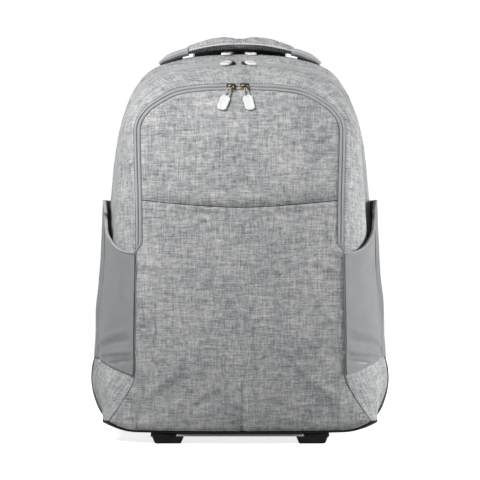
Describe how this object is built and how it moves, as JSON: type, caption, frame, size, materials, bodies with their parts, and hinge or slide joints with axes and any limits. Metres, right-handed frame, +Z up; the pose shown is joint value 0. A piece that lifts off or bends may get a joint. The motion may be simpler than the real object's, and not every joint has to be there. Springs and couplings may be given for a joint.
{
  "type": "wheeled backpack",
  "caption": "Wheeled backpack with arched zipped compartments, stretch side pockets, padded carry handle, shoulder straps, base wheels and a telescopic trolley handle.",
  "frame": {"origin": "on the floor, under the middle of the bag's overall box", "axes": "+Z up, the front face towards -Y, the wheels towards +Y, +X to the right of someone facing the front"},
  "size_m": [0.3616, 0.212, 0.4835],
  "materials": {
    "melange": "grey melange polyester, woven with light and dark slubs",
    "zip_tape": "plain grey woven zip tape with a coil",
    "stretch_fabric": "smooth grey stretch fabric",
    "air_mesh": "dark grey padded spacer mesh",
    "webbing": "plain grey woven webbing",
    "black_plastic": "black moulded plastic, fine grain",
    "guard_plastic": "dark grey moulded plastic",
    "rail_plastic": "light grey moulded plastic",
    "tube_metal": "satin anodised aluminium",
    "slider_metal": "gunmetal plated zinc",
    "pull_rubber": "light grey moulded rubber on a round cord loop",
    "tyre_rubber": "black wheel rubber"
  },
  "bodies": {
    "bag": {"front_gusset": "melange", "rear_gusset": "melange", "back_gusset": "melange", "base_corner_left": "melange", "base_corner_right": "melange", "front_panel_lower": "melange", "front_panel_upper": "melange", "carry_grip": "melange", "front_zip_tape": "zip_tape", "main_zip_tape": "zip_tape", "rear_zip_tape": "zip_tape", "side_pocket_left": "stretch_fabric", "side_pocket_right": "stretch_fabric", "back_panel": "air_mesh", "shoulder_strap_left": "air_mesh", "shoulder_strap_right": "air_mesh", "carry_strap_left": "webbing", "carry_strap_right": "webbing", "strap_webbing_left": "webbing", "strap_webbing_right": "webbing", "base_tray": "black_plastic", "foot_left": "black_plastic", "foot_right": "black_plastic", "trolley_collar": "black_plastic", "strap_buckle_left": "black_plastic", "strap_buckle_right": "black_plastic", "wheel_housing_left": "guard_plastic", "wheel_housing_right": "guard_plastic", "base_rail": "rail_plastic", "axle_left": "tube_metal", "axle_right": "tube_metal", "trolley_outer_left": "tube_metal", "trolley_outer_right": "tube_metal", "front_slider_left": "slider_metal", "front_slider_right": "slider_metal", "main_slider_left": "slider_metal", "main_slider_right": "slider_metal", "rear_slider_left": "slider_metal", "rear_slider_right": "slider_metal", "front_pull_left": "pull_rubber", "front_pull_right": "pull_rubber", "main_pull_left": "pull_rubber", "main_pull_right": "pull_rubber", "rear_pull_left": "pull_rubber", "rear_pull_right": "pull_rubber"},
    "wheel_left": {"tyre_left": "tyre_rubber", "hub_left": "guard_plastic"},
    "wheel_right": {"tyre_right": "tyre_rubber", "hub_right": "guard_plastic"},
    "trolley_stage": {"trolley_middle_left": "tube_metal", "trolley_middle_right": "tube_metal"},
    "trolley_top": {"trolley_inner_left": "tube_metal", "trolley_inner_right": "tube_metal", "trolley_grip": "black_plastic"},
    "lock_button": {"trolley_button": "guard_plastic"}
  },
  "joints": [
    {"name": "wheel_left_spin", "type": "hinge", "parent": "bag", "child": "wheel_left", "pos_m": [-0.133, 0.072, 0.034], "axis": [1, 0, 0], "continuous": true},
    {"name": "wheel_right_spin", "type": "hinge", "parent": "bag", "child": "wheel_right", "pos_m": [0.133, 0.072, 0.034], "axis": [1, 0, 0], "continuous": true},
    {"name": "trolley_lower_slide", "type": "slide", "parent": "bag", "child": "trolley_stage", "axis": [0, 0, 1], "range_m": [0, 0.255]},
    {"name": "trolley_upper_slide", "type": "slide", "parent": "trolley_stage", "child": "trolley_top", "axis": [0, 0, 1], "range_m": [0, 0.255]},
    {"name": "lock_button_press", "type": "slide", "parent": "trolley_top", "child": "lock_button", "axis": [0, 0, -1], "range_m": [0, 0.0025], "stiffness_N_per_m": 400, "springref_m": -0.001}
  ]
}
